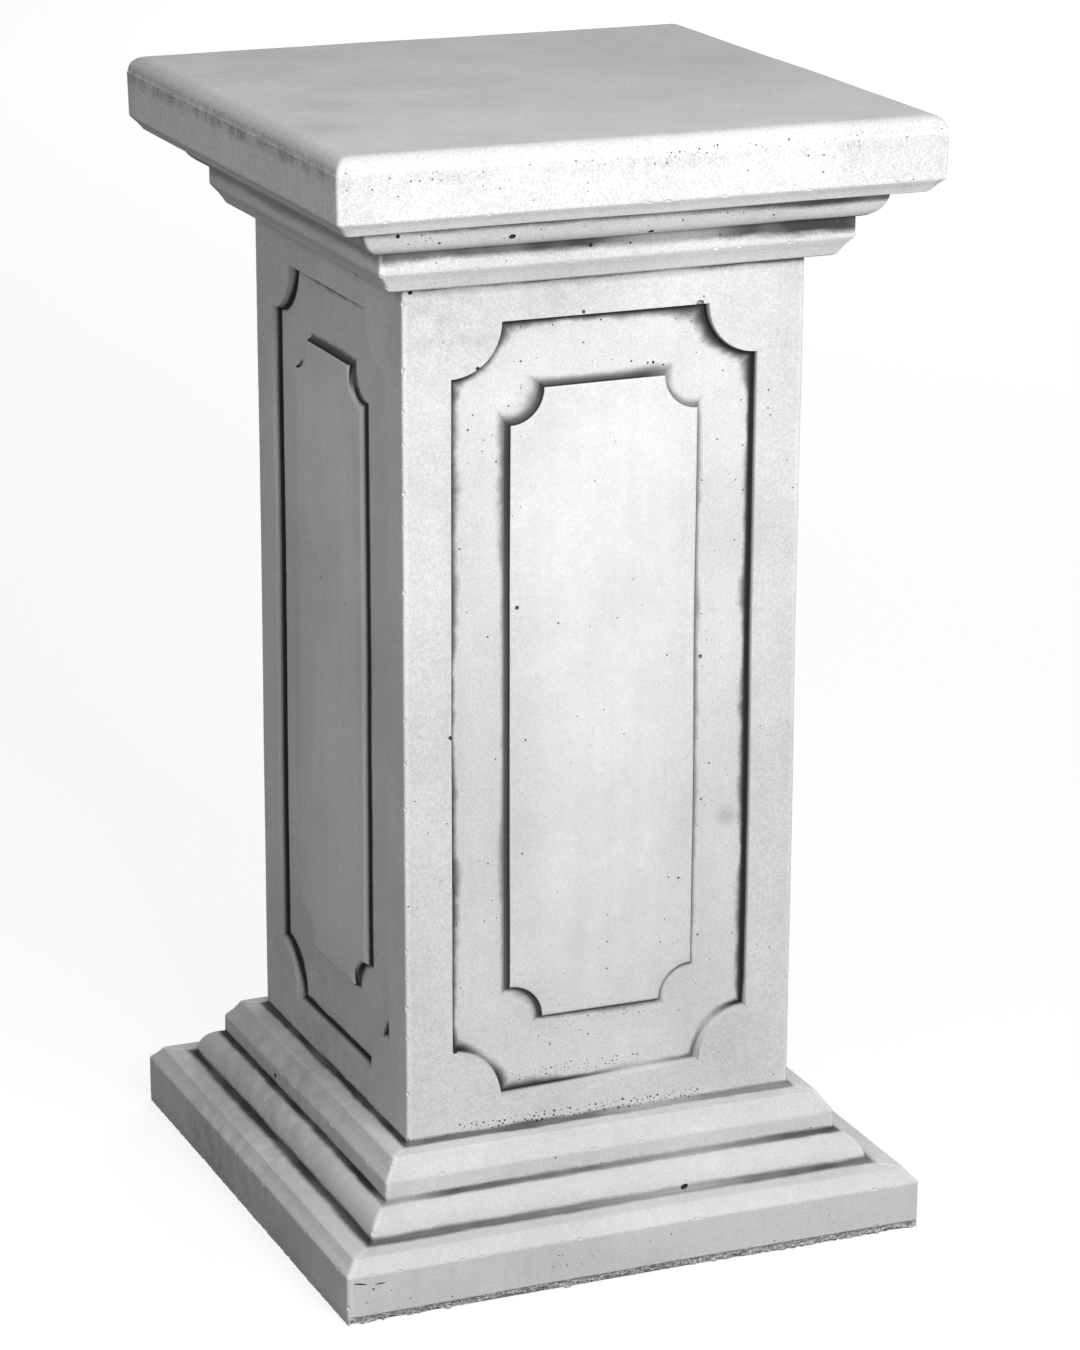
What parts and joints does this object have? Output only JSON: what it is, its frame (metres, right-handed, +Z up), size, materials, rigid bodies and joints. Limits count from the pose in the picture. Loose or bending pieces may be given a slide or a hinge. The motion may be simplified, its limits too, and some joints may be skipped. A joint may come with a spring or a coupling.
{
  "type": "pedestal",
  "caption": "Square cast-stone pedestal with a panelled shaft between a stepped, moulded base and a matching cap, made to carry an urn, figure or planter.",
  "frame": {"origin": "centre of the underside, on the surface the pedestal stands on", "axes": "+Z up along the shaft, -Y out of the front panel, +X to the right of someone facing the front"},
  "size_m": [0.3, 0.3, 0.552],
  "materials": {
    "cast_stone": "matte"
  },
  "bodies": {
    "root": {"pedestal": "cast_stone"}
  },
  "joints": []
}
